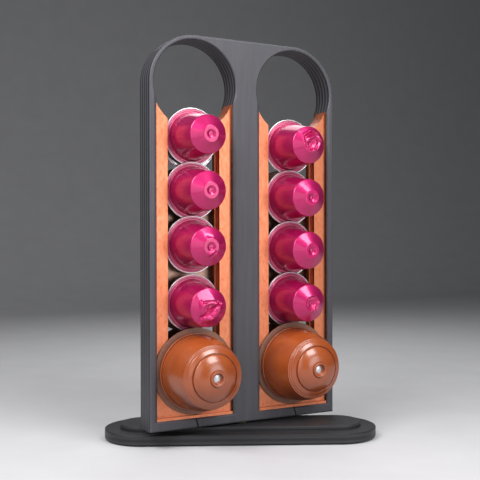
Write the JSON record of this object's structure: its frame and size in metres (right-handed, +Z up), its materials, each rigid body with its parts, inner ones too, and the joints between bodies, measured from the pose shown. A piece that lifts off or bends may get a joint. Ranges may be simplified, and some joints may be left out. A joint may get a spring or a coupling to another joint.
{
  "type": "coffee capsule dispenser",
  "caption": "Upright printed rack with round loading holes over railed columns that hold small and large coffee capsules, turning on a low rounded base.",
  "frame": {"origin": "on the pivot's axis, in the plane that the base rests on", "axes": "+Z up along the pivot; -Y towards the side pictured as the front; +X to the right along the rack's width"},
  "size_m": [0.165, 0.105, 0.2569],
  "materials": {
    "frame_print": "charcoal printed plastic with fine layer lines",
    "rail_print": "copper-coloured silk printed plastic",
    "small_cup": "magenta lacquered aluminium with a bare rim",
    "small_lid": "plain foil",
    "large_cup": "copper-brown moulded plastic",
    "large_lid": "sealing film",
    "rubber": "matt sheet",
    "steel": "zinc plated",
    "brass": "turned"
  },
  "bodies": {
    "base": {"base_plate": "frame_print", "base_pad": "rubber"},
    "tower": {"tower_frame": "frame_print", "rail_insert_left": "rail_print", "rail_insert_right": "rail_print", "pivot_screw": "steel", "pivot_washer": "steel", "pivot_bush": "brass", "pivot_nut": "steel"},
    "capsule_front_left_5": {"cup_front_left_5": "large_cup", "lid_front_left_5": "large_lid"},
    "capsule_front_left_4": {"cup_front_left_4": "small_cup", "lid_front_left_4": "small_lid"},
    "capsule_front_left_3": {"cup_front_left_3": "small_cup", "lid_front_left_3": "small_lid"},
    "capsule_front_left_2": {"cup_front_left_2": "small_cup", "lid_front_left_2": "small_lid"},
    "capsule_front_left_1": {"cup_front_left_1": "small_cup", "lid_front_left_1": "small_lid"},
    "capsule_front_right_5": {"cup_front_right_5": "large_cup", "lid_front_right_5": "large_lid"},
    "capsule_front_right_4": {"cup_front_right_4": "small_cup", "lid_front_right_4": "small_lid"},
    "capsule_front_right_3": {"cup_front_right_3": "small_cup", "lid_front_right_3": "small_lid"},
    "capsule_front_right_2": {"cup_front_right_2": "small_cup", "lid_front_right_2": "small_lid"},
    "capsule_front_right_1": {"cup_front_right_1": "small_cup", "lid_front_right_1": "small_lid"},
    "capsule_back_left_4": {"cup_back_left_4": "large_cup", "lid_back_left_4": "large_lid"},
    "capsule_back_left_3": {"cup_back_left_3": "large_cup", "lid_back_left_3": "large_lid"},
    "capsule_back_left_2": {"cup_back_left_2": "large_cup", "lid_back_left_2": "large_lid"},
    "capsule_back_left_1": {"cup_back_left_1": "small_cup", "lid_back_left_1": "small_lid"},
    "capsule_back_right_3": {"cup_back_right_3": "large_cup", "lid_back_right_3": "large_lid"},
    "capsule_back_right_2": {"cup_back_right_2": "large_cup", "lid_back_right_2": "large_lid"},
    "capsule_back_right_1": {"cup_back_right_1": "large_cup", "lid_back_right_1": "large_lid"}
  },
  "joints": [
    {"name": "tower_turn", "type": "hinge", "parent": "base", "child": "tower", "pos_m": [0, 0, 0.0099], "axis": [0, 0, 1], "continuous": true},
    {"name": "lift_front_left_5", "type": "slide", "parent": "tower", "child": "capsule_front_left_5", "axis": [0, 0, 1], "range_m": [0, 0.032]},
    {"name": "lift_front_left_4", "type": "slide", "parent": "tower", "child": "capsule_front_left_4", "axis": [0, 0, 1], "range_m": [0, 0.032]},
    {"name": "lift_front_left_3", "type": "slide", "parent": "tower", "child": "capsule_front_left_3", "axis": [0, 0, 1], "range_m": [0, 0.032]},
    {"name": "lift_front_left_2", "type": "slide", "parent": "tower", "child": "capsule_front_left_2", "axis": [0, 0, 1], "range_m": [0, 0.032]},
    {"name": "lift_front_left_1", "type": "slide", "parent": "tower", "child": "capsule_front_left_1", "axis": [0, 0, 1], "range_m": [0, 0.032]},
    {"name": "lift_front_right_5", "type": "slide", "parent": "tower", "child": "capsule_front_right_5", "axis": [0, 0, 1], "range_m": [0, 0.035]},
    {"name": "lift_front_right_4", "type": "slide", "parent": "tower", "child": "capsule_front_right_4", "axis": [0, 0, 1], "range_m": [0, 0.035]},
    {"name": "lift_front_right_3", "type": "slide", "parent": "tower", "child": "capsule_front_right_3", "axis": [0, 0, 1], "range_m": [0, 0.035]},
    {"name": "lift_front_right_2", "type": "slide", "parent": "tower", "child": "capsule_front_right_2", "axis": [0, 0, 1], "range_m": [0, 0.035]},
    {"name": "lift_front_right_1", "type": "slide", "parent": "tower", "child": "capsule_front_right_1", "axis": [0, 0, 1], "range_m": [0, 0.035]},
    {"name": "lift_back_left_4", "type": "slide", "parent": "tower", "child": "capsule_back_left_4", "axis": [0, 0, 1], "range_m": [0, 0.035]},
    {"name": "lift_back_left_3", "type": "slide", "parent": "tower", "child": "capsule_back_left_3", "axis": [0, 0, 1], "range_m": [0, 0.035]},
    {"name": "lift_back_left_2", "type": "slide", "parent": "tower", "child": "capsule_back_left_2", "axis": [0, 0, 1], "range_m": [0, 0.035]},
    {"name": "lift_back_left_1", "type": "slide", "parent": "tower", "child": "capsule_back_left_1", "axis": [0, 0, 1], "range_m": [0, 0.035]},
    {"name": "lift_back_right_3", "type": "slide", "parent": "tower", "child": "capsule_back_right_3", "axis": [0, 0, 1], "range_m": [0, 0.0774]},
    {"name": "lift_back_right_2", "type": "slide", "parent": "tower", "child": "capsule_back_right_2", "axis": [0, 0, 1], "range_m": [0, 0.0774]},
    {"name": "lift_back_right_1", "type": "slide", "parent": "tower", "child": "capsule_back_right_1", "axis": [0, 0, 1], "range_m": [0, 0.0774]}
  ],
  "couplings": [
    {"joint": "lift_front_left_4", "follows": "lift_front_left_5", "ratio": 1},
    {"joint": "lift_front_left_3", "follows": "lift_front_left_5", "ratio": 1},
    {"joint": "lift_front_left_2", "follows": "lift_front_left_5", "ratio": 1},
    {"joint": "lift_front_left_1", "follows": "lift_front_left_5", "ratio": 1},
    {"joint": "lift_front_right_4", "follows": "lift_front_right_5", "ratio": 1},
    {"joint": "lift_front_right_3", "follows": "lift_front_right_5", "ratio": 1},
    {"joint": "lift_front_right_2", "follows": "lift_front_right_5", "ratio": 1},
    {"joint": "lift_front_right_1", "follows": "lift_front_right_5", "ratio": 1},
    {"joint": "lift_back_left_3", "follows": "lift_back_left_4", "ratio": 1},
    {"joint": "lift_back_left_2", "follows": "lift_back_left_4", "ratio": 1},
    {"joint": "lift_back_left_1", "follows": "lift_back_left_4", "ratio": 1},
    {"joint": "lift_back_right_2", "follows": "lift_back_right_3", "ratio": 1},
    {"joint": "lift_back_right_1", "follows": "lift_back_right_3", "ratio": 1}
  ]
}
